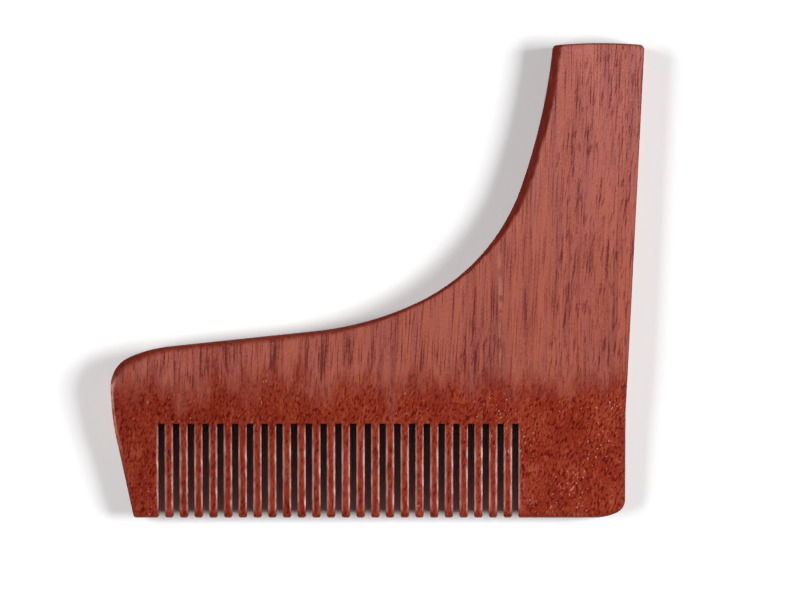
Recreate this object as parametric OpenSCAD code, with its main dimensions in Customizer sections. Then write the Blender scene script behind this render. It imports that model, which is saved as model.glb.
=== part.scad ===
// Beard comb with a shaping notch, sawn and ground from one board.
// It lies on its back face: X runs across the row of teeth, +Y along the handle,
// +Z is the thickness. The teeth point to -Y.

/* [Board] */
// Thickness of the board
board_t = 8; // [6:0.5:10]
// Thickness at the tips of the teeth
tip_t = 2.8; // [2:0.2:4]
// Height above the tips where both faces start to thin down
taper_h = 29; // [25:0.5:31]
// Length of the flat that blunts the tips, measured along the teeth
tip_nose = 0.7; // [0.4:0.1:1]

/* [Teeth] */
// Number of saw cuts
slot_count = 25; // [15:1:25]
// Width of one saw cut
slot_w = 1.3; // [0.8:0.1:1.5]
// Distance from one saw cut to the next
slot_pitch = 3; // [2.6:0.1:3]
// Depth of the saw cuts
slot_len = 19.25; // [14:0.25:20]
// Distance from the guard's end to the middle of the first saw cut
first_slot = 5.7; // [5:0.1:7]
// Chamfer along both edges of each saw cut
slot_chamfer = 0.35; // [0.2:0.05:0.5]
// How far the mouth of each saw cut flares at each side
mouth_flare = 0.35; // [0.2:0.05:0.5]

/* [Guard end] */
// Lean of the guard from upright, in degrees
guard_lean = 12; // [8:0.5:15]
// Straight length of the guard's outer edge
guard_len = 16.2; // [14:0.1:18]
// Radius that brings the guard's edge upright
guard_r = 54; // [45:1:60]
// Radius of the shoulder
shoulder_r = 6.2; // [5:0.1:8]
// Radius that runs from the shoulder into the spine
spine_lead_r = 27; // [22:0.5:30]

/* [Spine and shaping edge] */
// Rise of the spine, in degrees
spine_rise = 6; // [4:0.5:8]
// Straight length of the spine
spine_len = 29.8; // [27:0.1:32]
// Radius where the spine turns up
under_r = 65; // [60:1:70]
// Radius of the middle of the shaping edge
cheek_r = 41; // [38:0.5:44]
// Radius of the shaping edge along the handle
handle_r = 127; // [115:1:140]

/* [Handle and heel] */
// Height from the tips to the top of the shaping edge
edge_top = 95.75; // [92:0.25:97]
// Radius of the slightly crowned end of the handle
crown_r = 104; // [95:1:120]
// Turn of the crowned end, in degrees
crown_turn = 9.4; // [8.8:0.1:9.8]
// Width from the guard's end to the outer edge of the heel
heel_w = 100.1; // [96:0.1:101]
// Height of the upright part of the heel's outer edge
heel_h = 21.5; // [15:0.5:25]
// Radius of the heel's lower corner
heel_r = 3; // [2:0.25:5]
// Longer radius that runs from the heel's corner into its foot
heel_foot_r = 11; // [8:0.5:14]

/* [Hidden] */

// Headings at the joints of the shaping edge, in degrees from +X
under_heading = 25;
cheek_heading = 70.5;
// Heading where the shoulder passes into the long lead radius
shoulder_heading = 24;
// Headings at the two ends of the crowned end, and of the handle's outer edge
crown_heading = 5;
outer_heading = -92.9;
// Small radii that break the inner and the outer corner of the handle's end
inner_corner_r = 0.5;
outer_corner_r = 1;
// Turn of the heel's lower corner before the longer radius takes over
heel_turn = 65;
// Longest chord along the round stretches, and the fewest chords in one
chord = 1.5;
fewest_chords = 4;
// Clearance that lets a cut run past the face that it starts on
over = 1;

// A stretch of outline is [start, heading, radius, turn], with left turns positive
function unit(heading) = [cos(heading), sin(heading)];
function centre(s) = s[0] + sign(s[3]) * s[2] * unit(s[1] + 90);
function point_at(s, turn) = centre(s) - sign(s[3]) * s[2] * unit(s[1] + turn + 90);
function bend_end(s) = point_at(s, s[3]);
function bend_steps(s) = max(fewest_chords, ceil(abs(s[3]) * PI / 180 * s[2] / chord));
function bend(s) = [for (i = [0:bend_steps(s)]) point_at(s, s[3] * i / bend_steps(s))];

// Guard end, upwards from its tip
guard_top = guard_len * unit(90 + guard_lean);
guard_bend = [guard_top, 90 + guard_lean, guard_r, -guard_lean];
shoulder = [bend_end(guard_bend), 90, shoulder_r, shoulder_heading - 90];
spine_lead = [bend_end(shoulder), shoulder_heading, spine_lead_r, spine_rise - shoulder_heading];

// Spine and shaping edge
under_start = bend_end(spine_lead) + spine_len * unit(spine_rise);
under = [under_start, spine_rise, under_r, under_heading - spine_rise];
cheek = [bend_end(under), under_heading, cheek_r, cheek_heading - under_heading];
handle_start = bend_end(cheek);
handle_drop = handle_start[1] + handle_r * cos(cheek_heading) - edge_top;
handle_heading = acos(handle_drop / handle_r);
handle_edge = [handle_start, cheek_heading, handle_r, handle_heading - cheek_heading];

// End of the handle and its two corners
top_left = [bend_end(handle_edge), handle_heading, inner_corner_r, crown_heading - handle_heading];
crown = [bend_end(top_left), crown_heading, crown_r, -crown_turn];
crown_end_heading = crown_heading - crown_turn;
top_right = [bend_end(crown), crown_end_heading, outer_corner_r, outer_heading - crown_end_heading];

// Heel
heel_start = heel_r * sin(heel_turn) + heel_foot_r * (1 - sin(heel_turn));
heel_corner = [[heel_w, heel_start], -90, heel_r, -heel_turn];
heel_foot = [bend_end(heel_corner), -90 - heel_turn, heel_foot_r, heel_turn - 90];

outline = concat(
    [[0, 0]],
    bend(guard_bend),
    bend(shoulder),
    bend(spine_lead),
    bend(under),
    bend(cheek),
    bend(handle_edge),
    bend(top_left),
    bend(crown),
    bend(top_right),
    [[heel_w, heel_h]],
    bend(heel_corner),
    bend(heel_foot)
);

// The outline's own box puts the origin under the middle of the comb
box_low = [min([for (p = outline) p[0]]), min([for (p = outline) p[1]])];
box_high = [max([for (p = outline) p[0]]), max([for (p = outline) p[1]])];
box_mid = (box_low + box_high) / 2;

// Middle of the thickness, and half the width of the flat on the end of each tip
mid_z = board_t / 2;
nose_z = tip_t / 4;

// Angle of each thinned face
taper_angle = atan((board_t - tip_t) / 2 / (taper_h - tip_nose));

module slot_outline() {
    polygon([
        [-slot_w / 2 - mouth_flare - over, -over],
        [-slot_w / 2, mouth_flare],
        [-slot_w / 2, slot_len],
        [slot_w / 2, slot_len],
        [slot_w / 2, mouth_flare],
        [slot_w / 2 + mouth_flare + over, -over]
    ]);
}

// Moves its children to each saw cut in turn
module each_slot() {
    for (i = [0:slot_count - 1])
        translate([first_slot + slot_pitch * i, 0, 0])
            children();
}

module flat_comb() {
    linear_extrude(board_t)
        difference() {
            polygon(outline);
            each_slot() slot_outline();
        }
}

// Side view of the board, run across the whole comb
module side_profile() {
    translate([box_low[0] - over, 0, mid_z])
        rotate([90, 0, 90])
            linear_extrude(box_high[0] - box_low[0] + 2 * over)
                polygon([
                    [0, -nose_z],
                    [tip_nose, -tip_t / 2],
                    [taper_h, -mid_z],
                    [box_high[1] + over, -mid_z],
                    [box_high[1] + over, mid_z],
                    [taper_h, mid_z],
                    [tip_nose, tip_t / 2],
                    [0, nose_z]
                ]);
}

// V-shaped groove on the thinned upper face, which chamfers both edges of one saw cut
module edge_groove() {
    half = slot_w / 2 + slot_chamfer;
    translate([0, tip_nose, mid_z + tip_t / 2])
        rotate([taper_angle, 0, 0])
            translate([0, slot_len + slot_chamfer, 0])
                rotate([90, 0, 0])
                    linear_extrude(slot_len + slot_chamfer + tip_nose + over)
                        polygon([[-half - over, over], [0, -half], [half + over, over]]);
}

// The grooves of one saw cut, on both faces
module edge_grooves() {
    edge_groove();
    translate([0, 0, board_t]) mirror([0, 0, 1]) edge_groove();
}

module comb_body() {
    color("sienna")
        translate([-box_mid[0], -box_mid[1], 0])
            difference() {
                intersection() {
                    flat_comb();
                    side_profile();
                }
                each_slot() edge_grooves();
            }
}

comb_body();
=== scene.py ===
import math
from typing import NamedTuple

import bpy
import numpy as np
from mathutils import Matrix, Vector
from mathutils import geometry
from mathutils import noise


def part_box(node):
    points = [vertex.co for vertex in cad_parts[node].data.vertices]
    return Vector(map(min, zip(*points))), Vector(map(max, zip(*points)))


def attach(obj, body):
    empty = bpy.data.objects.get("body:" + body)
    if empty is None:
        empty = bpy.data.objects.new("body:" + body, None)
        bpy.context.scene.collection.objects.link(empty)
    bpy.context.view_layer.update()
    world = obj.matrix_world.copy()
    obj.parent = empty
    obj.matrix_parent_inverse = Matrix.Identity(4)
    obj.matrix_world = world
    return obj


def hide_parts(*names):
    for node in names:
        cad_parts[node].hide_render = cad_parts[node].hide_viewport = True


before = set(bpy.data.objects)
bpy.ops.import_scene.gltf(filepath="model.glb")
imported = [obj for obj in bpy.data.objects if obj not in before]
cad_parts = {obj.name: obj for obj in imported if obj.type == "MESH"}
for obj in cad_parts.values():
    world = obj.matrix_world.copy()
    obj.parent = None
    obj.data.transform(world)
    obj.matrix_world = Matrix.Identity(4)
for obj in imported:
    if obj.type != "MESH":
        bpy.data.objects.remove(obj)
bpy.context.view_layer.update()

# All shape values are in millimetres, in the comb's own plan: the guard tip is at
# (0, 0), X runs along the row of teeth and Y towards the end of the handle.
MM = 0.001

# Side view
TIP_T = 2.8
TAPER_H = 29
TAPER_BLEND = 3.2
TAPER_LIFT = 0.06
TAPER_WANDER = 1.1
TIP_NOSE = 1.15
TIP_LAND = 0.42
THINNEST = 0.12

# Teeth
SLOT_COUNT = 25
SLOT_W = 1.3
SLOT_PITCH = 3
SLOT_LEN = 19.25
FIRST_SLOT = 5.7
TOOTH_CORNER_R = 0.5
TIP_FADE = 1.6
ROOT_FADE = 6

# Outline, as in the part: radii, and headings in degrees from +X
GUARD_LEAN = 12
GUARD_LEN = 16.2
GUARD_R = 54
SHOULDER_R = 6.2
SHOULDER_HEADING = 24
SHOULDER_START = 0.35
SPINE_LEAD_R = 27
SPINE_RISE = 6
SPINE_LEN = 29.8
UNDER_R = 65
UNDER_HEADING = 25
CHEEK_R = 41
CHEEK_HEADING = 70.5
HANDLE_R = 127
EDGE_TOP = 95.75
CROWN_R = 104
CROWN_HEADING = 5
CROWN_TURN = 9.4
INNER_CORNER_R = 0.5
OUTER_CORNER_R = 1
OUTER_HEADING = -92.9
HEEL_W = 100.1
HEEL_H = 21.5
HEEL_R = 3
HEEL_TURN = 65
HEEL_FOOT_R = 11
GUARD_TIP_R = 0.6

# Spacing of points along the outline, and how far its two open edges run on
CHORD = 0.55
CORNER_STEP = 0.12
OUTER_CORNER_STEP = 0.15
HEEL_STEP = 0.3
ROOT_STEP = 0.3
TOOTH_STEP = 0.8
TOOTH_FOOT_STEP = 0.4
GUARD_FOOT_STEP = 0.5
LEAST_ARC_STEPS = 5
TOOTH_CORNER_POINTS = 7
RUN_ON = 4

# Rings of points inside the outline: over the rounding, then one just past it
RINGS = 7
RING_CLEARANCE = 0.93
FACE_RING = 0.35
# A lattice over the face, with closer rows up to a little above the taper
LATTICE = 1.4
DENSE_ROWS_ABOVE = 8
LATTICE_CLEARANCE = 1.1
ROUNDING_CLEARANCE = 0.8
ROUNDING_NEAR = 4
# Where the row of points down the middle of each tooth starts
FIRST_TOOTH_ROW = 1.2
# Points worked on at a time, which limits memory
CHUNK = 1500

# How far beyond a rounded corner the next point of the edge is, at least
TIP_JOIN = 0.1
CORNER_JOIN = 0.05
# Nearly nothing: as a height above the tips, between two points, and as a divisor
ON_TIP_LINE = 0.001
SAME_POINT = 1e-5
TINY = 1e-12

# How far hand sanding strays from an even rounding, which it does less where burnished.
# Cells are noise cells per millimetre, and places are where in the noise it is read
WANDER = 0.2
WANDER_CELLS = (0.8, 0.5)
WANDER_PLACE = 5.5
BURNISH_EVENS = 0.7
TAPER_CELLS = 0.045
TAPER_PLACE = (3.1, 0.7)
# The noise swings about half a unit either way, and this makes it a whole one
FULL_SWING = 2

# How the dark edge (burnish and painted shade) and the pale edge (painted highlight) fade
# in towards the edge
EDGE_MARK_REACH = 1.1
BURNISH_AND_SHADE_FADE = 0.9
CREASE_SHARPENS = 1.5
SHARPEST_FADE = 0.12
POLISH_AND_HIGHLIGHT_FADE = 2.5


# ---------------------------------------------------------------- outline

def unit(heading):
    return np.array([math.cos(math.radians(heading)), math.sin(math.radians(heading))])


def bend(start, heading, radius, turn, step=CHORD):
    """Points along an arc that leaves start at heading; left turns are positive."""
    side = math.copysign(1, turn)
    centre = start + side * radius * unit(heading + 90)
    count = max(LEAST_ARC_STEPS, math.ceil(abs(math.radians(turn)) * radius / step))
    turns = np.linspace(0, turn, count + 1)
    return np.array([centre - side * radius * unit(heading + t + 90) for t in turns])


def run(start, end, step=CHORD):
    """Evenly spaced points on a straight stretch."""
    start, end = np.array(start, float), np.array(end, float)
    count = max(1, math.ceil(np.linalg.norm(end - start) / step))
    return start + np.linspace(0, 1, count + 1)[:, None] * (end - start)


class Edge:
    """A stretch of outline and the rounding along it."""

    def __init__(self):
        self.points = []
        self.shape = []

    def add(self, points, first, last):
        """Appends points, with the rounding running from first to last."""
        share = np.linspace(0, 1, len(points))[:, None]
        shape = np.array(first) * (1 - share) + np.array(last) * share
        skip = 1 if self.points and np.allclose(self.points[-1], points[0]) else 0
        self.points += list(points[skip:])
        self.shape += list(shape[skip:])

    def close(self):
        self.points = np.array(self.points)
        self.shape = np.array(self.shape)
        return self


class Rounding(NamedTuple):
    """How one stretch of edge is eased.

    The crease is the share of a straight chamfer in it, which leaves a sharp line
    where it meets the face. Burnish and shade is how dark the edge is made, partly as
    burnished wood and partly as painted shade where it turns from the light. Polish and
    highlight is how glossy it is rubbed and how pale it is painted as a highlight.
    """

    width: float
    depth: float
    crease: float = 0
    burnish_and_shade: float = 0
    polish_and_highlight: float = 0


# Burnish and shade: darker, partly burnished wood, partly painted shade on edges that turn
# from the light
# Polish and highlight: glossier, and painted paler as a highlight
GUARD_FOOT = Rounding(0.55, 0.55, burnish_and_shade=0.3)
GUARD_SIDE = Rounding(0.62, 0.27, crease=0.85, polish_and_highlight=1)
SHOULDER = Rounding(1.9, 1.3, crease=0.2, burnish_and_shade=1)
SPINE = Rounding(1.35, 1.1, crease=0.12, burnish_and_shade=0.85)
UNDER = Rounding(0.62, 0.65, crease=0.4, burnish_and_shade=0.9)
CHEEK_MIDDLE = Rounding(0.62, 0.65, crease=0.7, burnish_and_shade=1)
HANDLE_SIDE = Rounding(1.45, 1.15, crease=0.9, burnish_and_shade=1)
CROWN = Rounding(0.5, 0.45, burnish_and_shade=0.7)
OUTER_SIDE = Rounding(0.35, 0.4, burnish_and_shade=0.8)
HEEL_FOOT = Rounding(0.55, 0.5, burnish_and_shade=0.6)
TOOTH_EDGE = Rounding(0.4, 0.2, crease=1, polish_and_highlight=1)
TOOTH_FOOT = Rounding(0.5, 0.4, crease=0.3, burnish_and_shade=0.5)
TOOTH_ROOT = Rounding(0.3, 0.15, crease=0.8, polish_and_highlight=0.3)


def shaping_edge():
    """Guard side, shoulder, spine and shaping edge, from the guard tip up."""
    edge = Edge()
    lean = 90 + GUARD_LEAN
    top = GUARD_LEN * unit(lean)
    edge.add(run(-RUN_ON * unit(lean), (0, 0)), GUARD_FOOT, GUARD_FOOT)
    edge.add(run((0, 0), top / 2), GUARD_FOOT, GUARD_FOOT)
    edge.add(run(top / 2, top), GUARD_FOOT, GUARD_SIDE)
    line = bend(top, lean, GUARD_R, -GUARD_LEAN)
    edge.add(line, GUARD_SIDE, GUARD_SIDE)
    first = (SHOULDER_HEADING - 90) * SHOULDER_START
    line = bend(line[-1], 90, SHOULDER_R, first)
    edge.add(line, GUARD_SIDE, SHOULDER)
    line = bend(line[-1], 90 + first, SHOULDER_R, SHOULDER_HEADING - 90 - first)
    edge.add(line, SHOULDER, SHOULDER)
    line = bend(line[-1], SHOULDER_HEADING, SPINE_LEAD_R, SPINE_RISE - SHOULDER_HEADING)
    edge.add(line, SHOULDER, SPINE)
    line = run(line[-1], line[-1] + SPINE_LEN * unit(SPINE_RISE))
    edge.add(line, SPINE, SPINE)
    line = bend(line[-1], SPINE_RISE, UNDER_R, UNDER_HEADING - SPINE_RISE)
    edge.add(line, SPINE, UNDER)
    middle = (UNDER_HEADING + CHEEK_HEADING) / 2
    line = bend(line[-1], UNDER_HEADING, CHEEK_R, middle - UNDER_HEADING)
    edge.add(line, UNDER, CHEEK_MIDDLE)
    line = bend(line[-1], middle, CHEEK_R, CHEEK_HEADING - middle)
    edge.add(line, CHEEK_MIDDLE, HANDLE_SIDE)
    drop = line[-1][1] + HANDLE_R * math.cos(math.radians(CHEEK_HEADING)) - EDGE_TOP
    heading = math.degrees(math.acos(drop / HANDLE_R))
    line = bend(line[-1], CHEEK_HEADING, HANDLE_R, heading - CHEEK_HEADING)
    edge.add(line, HANDLE_SIDE, HANDLE_SIDE)
    end = line[-1]
    edge.add(run(end, end + RUN_ON * unit(heading)), HANDLE_SIDE, HANDLE_SIDE)
    return edge.close(), end, heading


def inner_corner(handle_end, handle_heading):
    """The small corner where the shaping edge meets the crown."""
    turn = CROWN_HEADING - handle_heading
    return bend(handle_end, handle_heading, INNER_CORNER_R, turn, CORNER_STEP)


def tooth_side(x, side):
    """One wall of a saw cut: the rounded tip corner, the worn length and the rest."""
    r = TOOTH_CORNER_R
    angles = np.radians(np.linspace(0, 90, TOOTH_CORNER_POINTS))
    corner = np.stack([x + side * (r - r * np.sin(angles)), r - r * np.cos(angles)], 1)
    foot = run((x, r), (x, TIP_FADE), TOOTH_STEP)
    worn = run((x, TIP_FADE), (x, SLOT_LEN - ROOT_FADE), TOOTH_STEP)
    root = run((x, SLOT_LEN - ROOT_FADE), (x, SLOT_LEN), TOOTH_STEP)
    return corner, foot, worn, root


def add_slot(edge, middle):
    """Up one wall of a saw cut, across its root and down the other wall."""
    right, left = middle + SLOT_W / 2, middle - SLOT_W / 2
    corner, foot, worn, root = tooth_side(right, 1)
    edge.add(corner, TOOTH_FOOT, TOOTH_FOOT)
    edge.add(foot, TOOTH_FOOT, TOOTH_EDGE)
    edge.add(worn, TOOTH_EDGE, TOOTH_EDGE)
    edge.add(root, TOOTH_EDGE, TOOTH_ROOT)
    edge.add(run((right, SLOT_LEN), (left, SLOT_LEN), ROOT_STEP), TOOTH_ROOT, TOOTH_ROOT)
    corner, foot, worn, root = tooth_side(left, -1)
    edge.add(root[::-1], TOOTH_ROOT, TOOTH_EDGE)
    edge.add(worn[::-1], TOOTH_EDGE, TOOTH_EDGE)
    edge.add(foot[::-1], TOOTH_EDGE, TOOTH_FOOT)
    edge.add(corner[::-1], TOOTH_FOOT, TOOTH_FOOT)
    return corner[0]


def far_edge(handle_end, handle_heading):
    """Crown, outer side, heel, teeth and guard foot, round to the guard tip."""
    edge = Edge()
    start = inner_corner(handle_end, handle_heading)[-1]
    edge.add(run(start - RUN_ON * unit(CROWN_HEADING), start), CROWN, CROWN)
    line = bend(start, CROWN_HEADING, CROWN_R, -CROWN_TURN)
    edge.add(line, CROWN, CROWN)
    heading = CROWN_HEADING - CROWN_TURN
    turn = OUTER_HEADING - heading
    line = bend(line[-1], heading, OUTER_CORNER_R, turn, OUTER_CORNER_STEP)
    edge.add(line, CROWN, OUTER_SIDE)
    edge.add(run(line[-1], (HEEL_W, HEEL_H)), OUTER_SIDE, OUTER_SIDE)
    turned = math.sin(math.radians(HEEL_TURN))
    start = np.array([HEEL_W, HEEL_R * turned + HEEL_FOOT_R * (1 - turned)])
    edge.add(run((HEEL_W, HEEL_H), start), OUTER_SIDE, OUTER_SIDE)
    line = bend(start, -90, HEEL_R, -HEEL_TURN, HEEL_STEP)
    edge.add(line, OUTER_SIDE, HEEL_FOOT)
    line = bend(line[-1], -90 - HEEL_TURN, HEEL_FOOT_R, HEEL_TURN - 90)
    edge.add(line, HEEL_FOOT, HEEL_FOOT)
    here, rounding = line[-1], HEEL_FOOT
    for i in reversed(range(SLOT_COUNT)):
        middle = FIRST_SLOT + SLOT_PITCH * i
        tip_end = (middle + SLOT_W / 2 + TOOTH_CORNER_R, 0)
        edge.add(run(here, tip_end, TOOTH_FOOT_STEP), rounding, TOOTH_FOOT)
        here, rounding = add_slot(edge, middle), TOOTH_FOOT
    edge.add(run(here, (-RUN_ON, 0), GUARD_FOOT_STEP), TOOTH_FOOT, GUARD_FOOT)
    return edge.close()


def closed_outline(shaping, far, handle_end, handle_heading):
    """The plan outline as one loop, with the two corners between the edges rounded."""
    lean = 90 + GUARD_LEAN
    reach = GUARD_TIP_R / math.tan(math.radians(lean) / 2)
    foot = bend(np.array([reach, 0.0]), 180, GUARD_TIP_R, lean - 180, CORNER_STEP)
    corner = inner_corner(handle_end, handle_heading)
    above_foot = shaping.points[:, 1] > foot[-1][1] + TIP_JOIN
    below_corner = shaping.points[:, 1] < handle_end[1] - CORNER_JOIN
    right_of_corner = far.points[:, 0] > corner[-1][0] + CORNER_JOIN
    on_tips = far.points[:, 1] < ON_TIP_LINE
    at_guard = far.points[:, 0] < reach + TIP_JOIN
    start = np.flatnonzero(right_of_corner)[0]
    end = np.flatnonzero(on_tips & at_guard)[0]
    up = shaping.points[above_foot & below_corner]
    return np.concatenate([foot, up, corner, far.points[start:end]])


# ---------------------------------------------------------------- surface

def nearest_on(edge, points):
    """Distance from each point to the edge, and the rounding at the nearest place."""
    a, b = edge.points[:-1], edge.points[1:]
    d = b - a
    length2 = np.maximum((d ** 2).sum(1), TINY)
    distance = np.empty(len(points))
    shape = np.empty((len(points), len(edge.shape[0])))
    for low in range(0, len(points), CHUNK):
        p = points[low:low + CHUNK]
        v = p[:, None, :] - a[None]
        t = np.clip((v * d[None]).sum(2) / length2[None], 0, 1)
        gap = np.linalg.norm(v - t[..., None] * d[None], axis=2)
        k = gap.argmin(1)
        rows = np.arange(len(p))
        share = t[rows, k][:, None]
        distance[low:low + CHUNK] = gap[rows, k]
        shape[low:low + CHUNK] = edge.shape[k] * (1 - share) + edge.shape[k + 1] * share
    return distance, shape


def hand_wander(points, shape):
    """Lets the width and depth of the rounding vary, as hand sanding leaves it."""
    across, along = WANDER_CELLS
    places = [Vector((x * across, y * along, WANDER_PLACE)) for x, y in points]
    wave = np.array([noise.noise(place) for place in places])
    even = 1 - BURNISH_EVENS * shape[:, 3]
    shape[:, :2] *= (1 + WANDER * even * np.clip(wave * FULL_SWING, -1, 1))[:, None]


def rounding_drop(distance, shape):
    """How far the face falls below its level, distance away from the edge."""
    width, depth, crease = shape.T[:3]
    t = np.clip(1 - distance / width, 0, 1)
    return depth * ((1 - crease) * (1 - np.sqrt(1 - t ** 2)) + crease * t)


def half_thickness(x, y, full):
    """Half of the board's thickness before its edges are rounded."""
    wander = np.array([noise.noise(Vector((px * TAPER_CELLS, *TAPER_PLACE))) for px in x])
    start = TAPER_H + TAPER_WANDER * FULL_SWING * wander
    slope = (full - TIP_T / 2) / (TAPER_H - TIP_NOSE)
    fall = start - y
    # A smooth corner: it follows 0 above the start of the taper and the slope below it
    soft = (fall + np.sqrt(fall ** 2 + TAPER_BLEND ** 2)) / 2
    level = np.minimum(full - slope * soft + slope * TAPER_LIFT * TAPER_BLEND, full)
    nose = np.clip(1 - y / TIP_NOSE, 0, 1)
    return level - (level - TIP_LAND) * (1 - np.sqrt(1 - nose ** 2))


def inset_rings(outline, edges):
    """Points on lines inside the outline, where the rounding needs them."""
    before, after = np.roll(outline, 1, 0), np.roll(outline, -1, 0)
    along = after - before
    along /= np.linalg.norm(along, axis=1)[:, None]
    inward = np.stack([along[:, 1], -along[:, 0]], 1)
    gaps, shapes = zip(*(nearest_on(edge, outline) for edge in edges))
    own = np.argmin(gaps, 0)
    width = np.where(own == 0, shapes[0][:, 0], shapes[1][:, 0])
    shares = [1 - math.cos(math.radians(90 * i / RINGS)) for i in range(1, RINGS + 1)]
    reaches = [width * share for share in shares] + [width + FACE_RING]
    return [(outline + inward * reach[:, None], reach) for reach in reaches]


def inside(outline, points):
    """Which points lie inside the outline."""
    a, b = outline, np.roll(outline, -1, 0)
    rise = np.where(b[:, 1] == a[:, 1], TINY, b[:, 1] - a[:, 1])
    result = np.zeros(len(points), bool)
    for low in range(0, len(points), CHUNK):
        x, y = points[low:low + CHUNK].T[:, :, None]
        crosses = (a[None, :, 1] > y) != (b[None, :, 1] > y)
        at = a[None, :, 0] + (y - a[None, :, 1]) / rise[None] * (b - a)[None, :, 0]
        result[low:low + CHUNK] = (crosses & (x < at)).sum(1) % 2 == 1
    return result


def lattice_points(outline, loop, edges):
    """A lattice over the face that keeps clear of the outline and the rounding."""
    low, high = outline.min(0), outline.max(0)
    dense_top = TAPER_H + DENSE_ROWS_ABOVE
    xs = np.arange(low[0], high[0], LATTICE)
    ys = np.concatenate([np.arange(low[1], dense_top, LATTICE / 2),
                         np.arange(dense_top, high[1], LATTICE)])
    grid = np.stack(np.meshgrid(xs, ys), 2).reshape(-1, 2)
    grid[:, 0] += (np.arange(len(grid)) // len(xs) % 2) * LATTICE / 2
    grid = grid[inside(outline, grid)]
    gap, _ = nearest_on(loop, grid)
    from_shaping, shape = nearest_on(edges[0], grid)
    clear = np.where(from_shaping < ROUNDING_NEAR, shape[:, 0] + ROUNDING_CLEARANCE, 0)
    return grid[(gap > LATTICE_CLEARANCE) & (from_shaping > clear)]


def plan_points(outline, edges):
    """Outline points first, then the points inside it."""
    loop = Edge()
    loop.points = np.concatenate([outline, outline[:1]])
    loop.shape = np.zeros((len(loop.points), 1))
    keep = []
    for ring, reach in inset_rings(outline, edges):
        gap, _ = nearest_on(loop, ring)
        good = (gap > reach * RING_CLEARANCE) & inside(outline, ring)
        keep.append(ring[good])
    keep.append(lattice_points(outline, loop, edges))
    middles = FIRST_SLOT + SLOT_PITCH * (np.arange(SLOT_COUNT - 1) + 0.5)
    rows = np.arange(FIRST_TOOTH_ROW, SLOT_LEN, TOOTH_STEP)
    keep.append(np.stack(np.meshgrid(middles, rows), 2).reshape(-1, 2))
    return np.concatenate([outline] + keep)


def triangulate(points, rim_count):
    """The plan as triangles that all turn the same way, and its rim points in order."""
    ring = [(i, (i + 1) % rim_count) for i in range(rim_count)]
    flat, _, tris, origin, _, _ = geometry.delaunay_2d_cdt(
        [Vector(p) for p in points], ring, [], 1, SAME_POINT)
    flat = np.array([(v[0], v[1]) for v in flat])
    tris = np.array([t for t in tris if len(t) == 3])
    order = {old: new for new, olds in enumerate(origin) for old in olds}
    rim = [order[i] for i in range(rim_count)]
    a, b, c = flat[tris[:, 0]], flat[tris[:, 1]], flat[tris[:, 2]]
    area = (b - a)[:, 0] * (c - a)[:, 1] - (b - a)[:, 1] * (c - a)[:, 0]
    return flat, np.where((area < 0)[:, None], tris[:, ::-1], tris), rim


def eased(flat, edges):
    """How far each point falls by the rounding, its burnish with painted shade, and its
    painted highlight.
    """
    total = np.zeros(len(flat))
    marks = np.zeros((2, len(flat)))
    for edge in edges:
        gap, shape = nearest_on(edge, flat)
        hand_wander(flat, shape)
        total += rounding_drop(gap, shape)
        width, _, crease, burnish_and_shade, polish_and_highlight = shape.T
        reach = np.clip(EDGE_MARK_REACH - gap / width, 0, 1)
        fade = np.clip(BURNISH_AND_SHADE_FADE - CREASE_SHARPENS * crease, SHARPEST_FADE, 1)
        dark = np.clip(reach / fade, 0, 1) * burnish_and_shade
        pale = np.clip(reach * POLISH_AND_HIGHLIGHT_FADE, 0, 1) * polish_and_highlight
        marks = np.maximum(marks, [dark, pale])
    return total, marks


def comb_mesh(full):
    """The whole comb as one closed mesh, in millimetres on the plan's own origin."""
    shaping, handle_end, handle_heading = shaping_edge()
    far = far_edge(handle_end, handle_heading)
    outline = closed_outline(shaping, far, handle_end, handle_heading)
    edges = (shaping, far)
    flat, tris, rim = triangulate(plan_points(outline, edges), len(outline))
    total, marks = eased(flat, edges)
    level = half_thickness(flat[:, 0], flat[:, 1], full)
    height = np.maximum(level - total, THINNEST)
    m = len(flat)
    upper = np.column_stack([flat, full + height])
    lower = np.column_stack([flat, full - height])
    faces = [tuple(t) for t in tris] + [tuple(t[::-1] + m) for t in tris]
    for here, there in zip(rim, rim[1:] + rim[:1]):
        faces.append((here, there, there + m, here + m))
    return np.concatenate([upper, lower]), faces, np.tile(marks, 2), outline


def make_comb():
    """The comb where the CAD's body is, and how far that moved it from its own plan."""
    low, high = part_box("comb_body")
    full = (high.z - low.z) / 2 / MM
    points, faces, marks, outline = comb_mesh(full)
    middle = (outline.min(0) + outline.max(0)) / 2
    shift_x = (low.x + high.x) / 2 / MM - middle[0]
    shift_y = (low.y + high.y) / 2 / MM - middle[1]
    shift = np.array([shift_x, shift_y, low.z / MM])
    points = (points + shift) * MM
    mesh = bpy.data.meshes.new("comb")
    mesh.from_pydata([tuple(p) for p in points], [], faces)
    mesh.validate()
    for name, values in zip(("burnish_and_shade", "polish_and_highlight"), marks):
        mark = mesh.attributes.new(name, "FLOAT", "POINT")
        mark.data.foreach_set("value", values.astype(np.float32))
    for polygon in mesh.polygons:
        polygon.use_smooth = True
    comb = bpy.data.objects.new("comb", mesh)
    bpy.context.scene.collection.objects.link(comb)
    return comb, shift


comb, plan_shift = make_comb()
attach(comb, "root")
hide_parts("comb_body")


# ---------------------------------------------------------------- wood

class Pattern(NamedTuple):
    """One pattern in the wood, drawn by noise.

    Cells are counts per millimetre, and place is where in the noise it is read. Its
    marks fade in between two noise values, and weight is how far they change the tone.
    """

    cells: tuple
    place: tuple = (0, 0, 0)
    detail: float = 2.0
    between: tuple = (0.0, 1.0)
    weight: float = 1.0
    rough: float = 0.5


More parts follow.
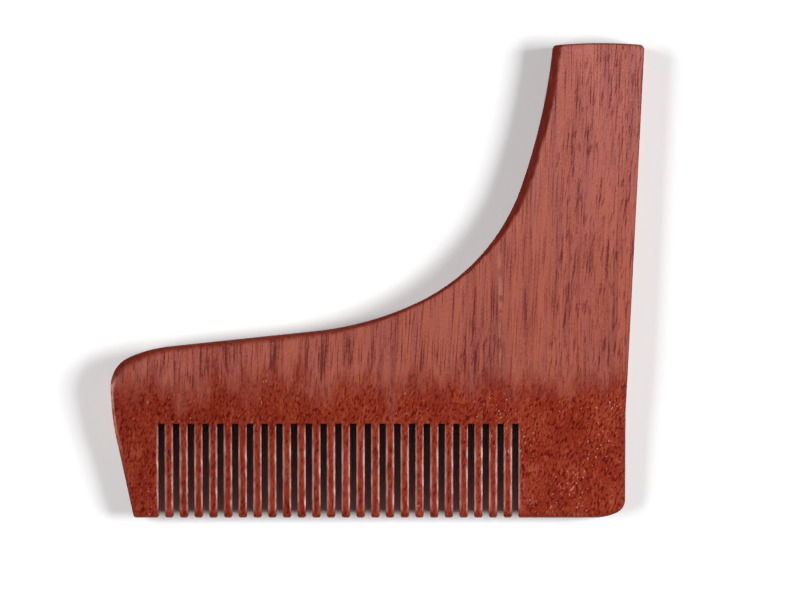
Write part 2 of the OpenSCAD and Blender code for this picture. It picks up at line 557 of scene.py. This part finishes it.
class Graph:
    """Short calls for building one material's node tree."""

    def __init__(self, name):
        self.material = bpy.data.materials.new(name)
        self.material.use_nodes = True
        self.tree = self.material.node_tree
        self.tree.nodes.clear()

    def node(self, kind, **settings):
        made = self.tree.nodes.new(kind)
        for key, value in settings.items():
            setattr(made, key, value)
        return made

    def feed(self, socket, value):
        """Links value to the socket if it is an output, and sets it there if not."""
        if isinstance(value, bpy.types.NodeSocket):
            self.tree.links.new(value, socket)
        else:
            socket.default_value = value

    def math(self, operation, *values):
        made = self.node("ShaderNodeMath", operation=operation)
        for socket, value in zip(made.inputs, values):
            self.feed(socket, value)
        return made.outputs[0]

    def add(self, a, b):
        return self.math("ADD", a, b)

    def times(self, a, b):
        return self.math("MULTIPLY", a, b)

    def times_add(self, a, b, c):
        return self.math("MULTIPLY_ADD", a, b, c)

    def span(self, value, between, results=(0.0, 1.0)):
        """value mapped smoothly to the results, and held beyond both ends."""
        made = self.node("ShaderNodeMapRange", interpolation_type="SMOOTHSTEP")
        names = ("Value", "From Min", "From Max", "To Min", "To Max")
        for name, part in zip(names, (value, *between, *results)):
            self.feed(made.inputs[name], part)
        return made.outputs["Result"]

    def scaled(self, vector, scale, shift=(0, 0, 0)):
        made = self.node("ShaderNodeVectorMath", operation="MULTIPLY_ADD")
        for socket, value in zip(made.inputs, (vector, scale, shift)):
            self.feed(socket, value)
        return made.outputs[0]

    def split(self, vector):
        made = self.node("ShaderNodeSeparateXYZ")
        self.feed(made.inputs[0], vector)
        return made.outputs

    def joined(self, x, y, z):
        made = self.node("ShaderNodeCombineXYZ")
        for socket, value in zip(made.inputs, (x, y, z)):
            self.feed(socket, value)
        return made.outputs[0]

    def slanted(self, vector, lean):
        """vector with X shifted along Y, so that what follows Y leans over."""
        x, y, z = self.split(vector)
        return self.joined(self.times_add(y, -lean, x), y, z)

    def noise(self, vector, pattern):
        """The pattern's bare noise, from 0 to 1."""
        made = self.node("ShaderNodeTexNoise", noise_dimensions="3D")
        self.feed(made.inputs["Vector"], self.scaled(vector, pattern.cells, pattern.place))
        self.feed(made.inputs["Scale"], 1.0)
        self.feed(made.inputs["Detail"], pattern.detail)
        self.feed(made.inputs["Roughness"], pattern.rough)
        return made.outputs["Fac"]

    def marks(self, vector, pattern, least=0.0):
        """1 on the pattern's marks and least between them."""
        return self.span(self.noise(vector, pattern), pattern.between, (least, 1.0))

    def clouded(self, tone, vector, pattern):
        """tone changed by the pattern's bare noise."""
        return self.times_add(self.noise(vector, pattern), pattern.weight, tone)

    def marked(self, tone, vector, pattern):
        """tone changed where the pattern's marks are."""
        return self.times_add(self.marks(vector, pattern), pattern.weight, tone)

    def fibrous(self, tone, vector, pattern):
        """tone made as much lighter as darker by the pattern's noise."""
        swing = self.math("SUBTRACT", self.noise(vector, pattern), 0.5)
        return self.times_add(swing, pattern.weight, tone)

    def ramp(self, value, stops):
        made = self.node("ShaderNodeValToRGB")
        elements = made.color_ramp.elements
        while len(elements) < len(stops):
            elements.new(0.5)
        for element, (place, shade) in zip(elements, stops):
            element.position = place
            element.color = shade
        self.feed(made.inputs["Fac"], value)
        return made.outputs["Color"]

    def mix(self, share, a, b, blend="MIX"):
        made = self.node("ShaderNodeMix", data_type="RGBA", blend_type=blend)
        self.feed(made.inputs["Factor"], share)
        for socket, value in zip([s for s in made.inputs if s.type == "RGBA"], (a, b)):
            self.feed(socket, value)
        return [s for s in made.outputs if s.type == "RGBA"][0]

    def tint(self, share, a, b):
        return self.mix(share, a, b, "MULTIPLY")

    def attribute(self, name):
        return self.node("ShaderNodeAttribute", attribute_name=name).outputs["Fac"]

    def finish(self, surface):
        """Ends the tree in one shader with these inputs, and returns the material."""
        shader = self.node("ShaderNodeBsdfPrincipled")
        for name, value in surface.items():
            self.feed(shader.inputs[name], value)
        out = self.node("ShaderNodeOutputMaterial")
        self.feed(out.inputs["Surface"], shader.outputs[0])
        return self.material


def colour(red, green, blue):
    return (red, green, blue, 1.0)


# Base colours, linear. Each tone ramp runs from its darkest grain to its lightest
# The sanded face is paler and pinker partly from its finish, partly from painted sheen
SANDED_WITH_SHEEN = ((0.0, colour(0.135, 0.027, 0.025)), (0.5, colour(0.305, 0.083, 0.066)),
          (1.0, colour(0.420, 0.138, 0.106)))
GROUND = ((0.0, colour(0.080, 0.004, 0.0030)), (0.5, colour(0.198, 0.018, 0.0075)),
          (1.0, colour(0.320, 0.068, 0.032)))
# Burnished edges, darkened also by painted shade where they turn from the light
BURNISHED_AND_SHADED = ((0.0, colour(0.075, 0.004, 0.001)), (0.6, colour(0.135, 0.0085, 0.0015)),
             (1.0, colour(0.215, 0.021, 0.005)))
# Painted sheen: a darker, warmer tint for the face away from the top of the handle
SHEEN_FALLOFF_TINT = colour(0.78, 0.62, 0.52)
VIOLET = colour(0.89, 0.92, 1.06)
TAN = colour(0.42, 0.165, 0.105)
DEEP = colour(0.86, 0.80, 0.72)
# Painted glints on the ground face's open pores
PAINTED_GLINT_COLOUR = colour(0.46, 0.22, 0.19)
# Painted highlight on the rounded edges of the teeth and guard
PAINTED_EDGE_HIGHLIGHT = colour(0.36, 0.080, 0.050)

# Places in the patterns are in millimetres from the middle of the comb. A result of
# FADE_OUT falls from 1 to 0 between its two places
FADE_OUT = (1.0, 0.0)

# The grain runs along the handle, leans with it and wanders a little
DRIFT = Pattern((0.04, 0.022, 0.03), detail=1.0, weight=2.0)
GRAIN_LEAN = 0.03

# Sanded face: bands, then lines and streaks that are fainter on the outer side
SANDED_LEVEL = 0.57
BAND = Pattern((0.25, 0.015, 0.25), weight=0.7)
LINE = Pattern((3.0, 0.09, 4.0), (1, 9, 4), 1.5, (0.50, 0.66))
STREAK = Pattern((0.9, 0.04, 1.8), (4, 8, 2), 3.0, (0.48, 0.66))
LINES_CHANGE = (8.0, 32.0)
LINE_WEIGHTS = (-0.70, -0.50)
STREAK_WEIGHTS = (-0.36, -0.27)
FIBRE = Pattern((3.2, 2.0, 7.0), (5, 2, 8), weight=1.15)

# Short pores in groups, crowded beyond a slanting line on the handle's outer side
PORE = Pattern((2.3, 0.28, 4.0), (9, 5, 7), 1.0, (0.54, 0.66), -0.50)
PORE_GROUP = Pattern((0.16, 0.08, 0.2), (6, 6, 2), 1.0, (0.48, 0.72))
PORE_LEAN = 0.10
PORES_BEGIN = (32.0, 40.0)
PORES_BEGIN_LEAN = 0.13
PORES_CROWD = 0.30

# Violet bands, and painted sheen: the face is tinted darker and warmer away from the top
# of the handle
VIOLET_BAND = Pattern((0.8, 0.03, 0.6), (7, 3, 1), 2.0, (0.45, 0.65))
SHEEN_FADES = (-20.0, 64.0)
SHEEN_LEAN = 0.08

# The one pale line: its place, its half width lower down and at the top, and its ends
PALE_ACROSS = 25.25
PALE_WANDER = Pattern((0, 0.12, 0), (2, 2, 2), 1.0, weight=0.7)
PALE_GAPS = Pattern((0, 0.35, 0), (5, 5, 5), 2.0, (0.38, 0.58))
PALE_IN_GAPS = 0.2
PALE_WIDENS = (-14.0, -2.0)
PALE_HALF_WIDTHS = (0.28, 0.62)
PALE_SIDES = (0.3, 1.0)
PALE_BOTTOM = (-26.0, -18.0)
PALE_TOP = (2.0, 9.0)
PALE_SHARE = 0.5

# Ground teeth and heel, which are deeper in colour towards the guard side
GROUND_LEVEL = 0.25
CLOUD = Pattern((0.25, 0.12, 0.3), (1, 4, 9), weight=0.6)
FLECK = Pattern((2.6, 1.05, 3.0), (2, 6, 3), 0.5, (0.54, 0.66), -0.46)
WARM = Pattern((1.8, 0.3, 3.0), (9, 2, 6), 2.0, (0.50, 0.70), 0.22)
SHORT_FIBRE = Pattern((3.2, 1.8, 5.0), (3, 5, 1), weight=0.8)
FLECK_LEAN = 0.26
DEEP_FADES = (-45.0, 30.0)
# Painted glints where open pores catch the light, crowded on the heel
PAINTED_GLINT = Pattern((3.0, 1.7, 3.0), (2.3, 6.4, 3), 0.5, (0.90, 0.97))
PAINTED_GLINT_GROUP = Pattern((0.12, 0.10, 0.1), (8, 1, 8), 1.0, weight=0.25)
PAINTED_GLINTS_GROW = (-10.0, 30.0)
PAINTED_GLINTS_CROWD = 0.22
PAINTED_GLINT_SHARE = 0.8

# Where the ground face ends, below and above the start of the taper
RAGGED = Pattern((0.20, 0.05, 0.1), (3, 3, 3), 5.0, weight=22.0, rough=0.62)
GROUND_BELOW = 6.0
GROUND_ABOVE = 3.0

# Board's sides and end
SIDE_LEVEL = -0.45
SIDE_LINE = Pattern((1.3, 0.06, 1.6), (3, 1, 6), 3.0, weight=1.5)
SIDE_FIBRE = Pattern((3.0, 1.2, 5.0), (1, 5, 8), weight=0.5)
SIDE_PORE = Pattern((3.2, 0.25, 3.2), (7, 7, 1), 1.0, (0.55, 0.68), -0.4)

# Patches of polish, and of painted highlight, on the rubbed edges
RUBBED_AND_HIGHLIGHT_PATCH = Pattern((1.6, 0.5, 1.2), (8, 1, 5), 2.0, (0.35, 0.62))
RUBBED_AND_HIGHLIGHT_BETWEEN = 0.3
HIGHLIGHT_SHARE = 0.7

# Roughness of the darkest grain, and how tone, grinding and rubbing change it
ROUGHNESS = 0.48
ROUGHNESS_OF_TONE = -0.10
ROUGHNESS_OF_GROUND = -0.08
ROUGHNESS_OF_BURNISH = 0.25
ROUGHNESS_OF_POLISH = -0.14
IOR = 1.5
SPECULAR = 0.12
COAT = 0.42
COAT_ROUGHNESS = 0.22

# Open pores sit a few hundredths of a millimetre below the face
RELIEF_STRENGTH = 0.25
RELIEF_DEPTH = 0.08
FACE_RELIEF = 0.6
GROUND_RELIEF = 0.4


def grain_vector(g, mm):
    across, along, depth = g.split(mm)
    drift = g.times(g.noise(mm, DRIFT), DRIFT.weight)
    return g.joined(g.add(across, g.times_add(along, -GRAIN_LEAN, drift)), along, depth)


def sanded_tone(g, grain, across, along):
    """Long straight grain, with short pores on the outer side of the handle."""
    lines = g.times(g.marks(grain, LINE), g.span(across, LINES_CHANGE, LINE_WEIGHTS))
    streaks = g.times(g.marks(grain, STREAK), g.span(across, LINES_CHANGE, STREAK_WEIGHTS))
    outer = g.span(g.times_add(along, -PORES_BEGIN_LEAN, across), PORES_BEGIN)
    crowd = g.times_add(outer, PORES_CROWD, g.noise(grain, PORE_GROUP))
    pores = g.times(g.marks(g.slanted(grain, PORE_LEAN), PORE),
                    g.span(crowd, PORE_GROUP.between))
    tone = g.add(g.clouded(SANDED_LEVEL, grain, BAND), g.add(lines, streaks))
    return g.fibrous(g.times_add(pores, PORE.weight, tone), grain, FIBRE)


def pale_line(g, mm, across, along):
    """The one pale line of grain beside the bend of the handle, broad at its top."""
    offset = g.math("ABSOLUTE", g.add(across, g.clouded(-PALE_ACROSS, mm, PALE_WANDER)))
    half_width = g.span(along, PALE_WIDENS, PALE_HALF_WIDTHS)
    line = g.span(g.math("DIVIDE", offset, half_width), PALE_SIDES, FADE_OUT)
    ends = g.times(g.span(along, PALE_BOTTOM), g.span(along, PALE_TOP, FADE_OUT))
    return g.times(g.times(line, g.marks(mm, PALE_GAPS, PALE_IN_GAPS)), ends)


def sanded_colour_with_sheen(g, mm, grain, tone, across, along):
    face = g.tint(g.marks(grain, VIOLET_BAND), g.ramp(tone, SANDED_WITH_SHEEN), VIOLET)
    # Painted sheen: the face is tinted darker and warmer away from the top of the handle,
    # where the sheen is strongest
    rise = g.times_add(across, -SHEEN_LEAN, along)
    face = g.tint(g.span(rise, SHEEN_FADES, FADE_OUT), face, SHEEN_FALLOFF_TINT)
    return g.mix(g.times(pale_line(g, mm, across, along), PALE_SHARE), face, TAN)


def ground_tone(g, grain):
    """Cut across the fibres at a slant, so the grain shows as short flecks."""
    slanted = g.slanted(grain, FLECK_LEAN)
    tone = g.clouded(GROUND_LEVEL, grain, CLOUD)
    tone = g.marked(tone, slanted, FLECK)
    tone = g.marked(tone, grain, WARM)
    return g.fibrous(tone, slanted, SHORT_FIBRE)


def painted_glints(g, grain, across):
    """Painted glints: pale specks where tiny open pores catch the light, thickest on the
    heel.
    """
    growth = g.span(across, PAINTED_GLINTS_GROW)
    crowd = g.times_add(growth, PAINTED_GLINTS_CROWD, g.noise(grain, PAINTED_GLINT_GROUP))
    glint = g.noise(g.slanted(grain, FLECK_LEAN), PAINTED_GLINT)
    return g.span(g.times_add(crowd, PAINTED_GLINT_GROUP.weight, glint), PAINTED_GLINT.between)


def ground_colour(g, grain, tone, across):
    ground = g.tint(g.span(across, DEEP_FADES, FADE_OUT), g.ramp(tone, GROUND), DEEP)
    # Painted glints mixed over the ground colour
    return g.mix(g.times(painted_glints(g, grain, across), PAINTED_GLINT_SHARE), ground, PAINTED_GLINT_COLOUR)


def ground_share(g, mm, along):
    """1 where the face is ground thin and 0 above that, with a ragged line between."""
    height = g.add(along, g.clouded(-RAGGED.weight / 2, mm, RAGGED))
    taper_line = TAPER_H + plan_shift[1]
    return g.span(height, (taper_line - GROUND_BELOW, taper_line + GROUND_ABOVE), FADE_OUT)


def edge_tone(g, grain):
    """Lines along the board's sides, and open pores on the end grain."""
    tone = g.clouded(SIDE_LEVEL, grain, SIDE_LINE)
    tone = g.clouded(tone, grain, SIDE_FIBRE)
    return g.marked(tone, grain, SIDE_PORE)


def relief(g, face_tone, rough_tone):
    bump = g.node("ShaderNodeBump")
    height = g.add(g.times(face_tone, FACE_RELIEF), g.times(rough_tone, GROUND_RELIEF))
    g.feed(bump.inputs["Strength"], RELIEF_STRENGTH)
    g.feed(bump.inputs["Distance"], RELIEF_DEPTH * MM)
    g.feed(bump.inputs["Height"], height)
    return bump.outputs["Normal"]


def wood_material():
    """Oiled red sandalwood: a paler sanded face that carries painted sheen, deep red where
    it is ground, and painted shade, highlights and glints on edges and pores.
    """
    g = Graph("red_sandalwood")
    mm = g.scaled(g.node("ShaderNodeTexCoord").outputs["Object"], (1 / MM,) * 3)
    across, along, _ = g.split(mm)
    grain = grain_vector(g, mm)

    face_tone = sanded_tone(g, grain, across, along)
    rough_tone = ground_tone(g, grain)
    face = sanded_colour_with_sheen(g, mm, grain, face_tone, across, along)
    ground = ground_share(g, mm, along)
    # The sanded face carries the painted sheen; the ground face has none
    surface = g.mix(ground, face, ground_colour(g, grain, rough_tone, across))

    burnish_and_shade = g.attribute("burnish_and_shade")
    polish_and_highlight = g.attribute("polish_and_highlight")
    rubbed_and_highlight = g.times(polish_and_highlight, g.marks(mm, RUBBED_AND_HIGHLIGHT_PATCH, RUBBED_AND_HIGHLIGHT_BETWEEN))
    # Darker edges: burnished wood with painted shade
    surface = g.mix(burnish_and_shade, surface, g.ramp(edge_tone(g, grain), BURNISHED_AND_SHADED))
    # Paler edges: painted highlight
    surface = g.mix(g.times(rubbed_and_highlight, HIGHLIGHT_SHARE), surface, PAINTED_EDGE_HIGHLIGHT)

    roughness = ROUGHNESS
    for share, change in ((face_tone, ROUGHNESS_OF_TONE), (ground, ROUGHNESS_OF_GROUND),
                          (burnish_and_shade, ROUGHNESS_OF_BURNISH), (polish_and_highlight, ROUGHNESS_OF_POLISH)):
        roughness = g.times_add(share, change, roughness)
    return g.finish({
        "Base Color": surface,
        "Roughness": roughness,
        "IOR": IOR,
        "Specular IOR Level": SPECULAR,
        "Coat Weight": g.times(rubbed_and_highlight, COAT),
        "Coat Roughness": COAT_ROUGHNESS,
        "Normal": relief(g, face_tone, rough_tone),
    })


comb.data.materials.append(wood_material())


# ---------------------------------------------------------------- studio

# In metres and watts
FLOOR_HALF = 0.2
FLOOR_COLOUR = colour(0.9, 0.9, 0.9)
FLOOR_ROUGHNESS = 0.9
WORLD_COLOUR = colour(1, 1, 1)
WORLD_LIGHT = 0.05
KEY_PLACE = (0.57, -0.02, 0.46)
KEY_SIZE = (0.32, 0.3)
KEY_POWER = 6.1
FILL_PLACE = (-0.52, 0.02, 0.52)
FILL_SIZE = (0.5, 0.36)
FILL_POWER = 4.6
CAMERA_PLACE = (0.0058, -0.0034, 0.9)
VIEW_WIDTH = 0.1649
SENSOR_WIDTH = 36  # millimetres, as is the lens


def floor_material():
    g = Graph("pale_floor")
    return g.finish({"Base Color": FLOOR_COLOUR, "Roughness": FLOOR_ROUGHNESS})


def make_floor():
    mesh = bpy.data.meshes.new("floor")
    half = FLOOR_HALF
    corners = [(-half, -half, 0), (half, -half, 0), (half, half, 0), (-half, half, 0)]
    mesh.from_pydata(corners, [], [(0, 1, 2, 3)])
    floor = bpy.data.objects.new("floor", mesh)
    bpy.context.scene.collection.objects.link(floor)
    mesh.materials.append(floor_material())


def softbox(name, place, size, power):
    """A rectangular lamp that faces the middle of the comb."""
    data = bpy.data.lights.new(name, "AREA")
    data.shape = "RECTANGLE"
    data.size, data.size_y = size
    data.energy = power
    lamp = bpy.data.objects.new(name, data)
    bpy.context.scene.collection.objects.link(lamp)
    lamp.location = place
    lamp.rotation_euler = (-Vector(place)).to_track_quat("-Z", "Y").to_euler()


def make_world():
    """Faint light from all round. The backdrop itself shows as white as the floor."""
    world = bpy.data.worlds.new("studio")
    world.use_nodes = True
    tree = world.node_tree
    background = tree.nodes["Background"]
    background.inputs["Color"].default_value = WORLD_COLOUR
    seen = tree.nodes.new("ShaderNodeLightPath").outputs["Is Camera Ray"]
    level = tree.nodes.new("ShaderNodeMapRange")
    level.inputs["To Min"].default_value = WORLD_LIGHT
    tree.links.new(seen, level.inputs["Value"])
    tree.links.new(level.outputs["Result"], background.inputs["Strength"])
    bpy.context.scene.world = world


def make_camera():
    """Looks straight down, centred a little right of and below the comb's middle."""
    data = bpy.data.cameras.new("camera")
    camera = bpy.data.objects.new("camera", data)
    bpy.context.scene.collection.objects.link(camera)
    distance = CAMERA_PLACE[2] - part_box("comb_body")[1].z
    data.sensor_width = SENSOR_WIDTH
    data.lens = data.sensor_width * distance / VIEW_WIDTH
    camera.location = CAMERA_PLACE
    bpy.context.scene.camera = camera


make_floor()
make_camera()
make_world()
softbox("key", KEY_PLACE, KEY_SIZE, KEY_POWER)
softbox("fill", FILL_PLACE, FILL_SIZE, FILL_POWER)
bpy.context.scene.view_settings.view_transform = "Standard"
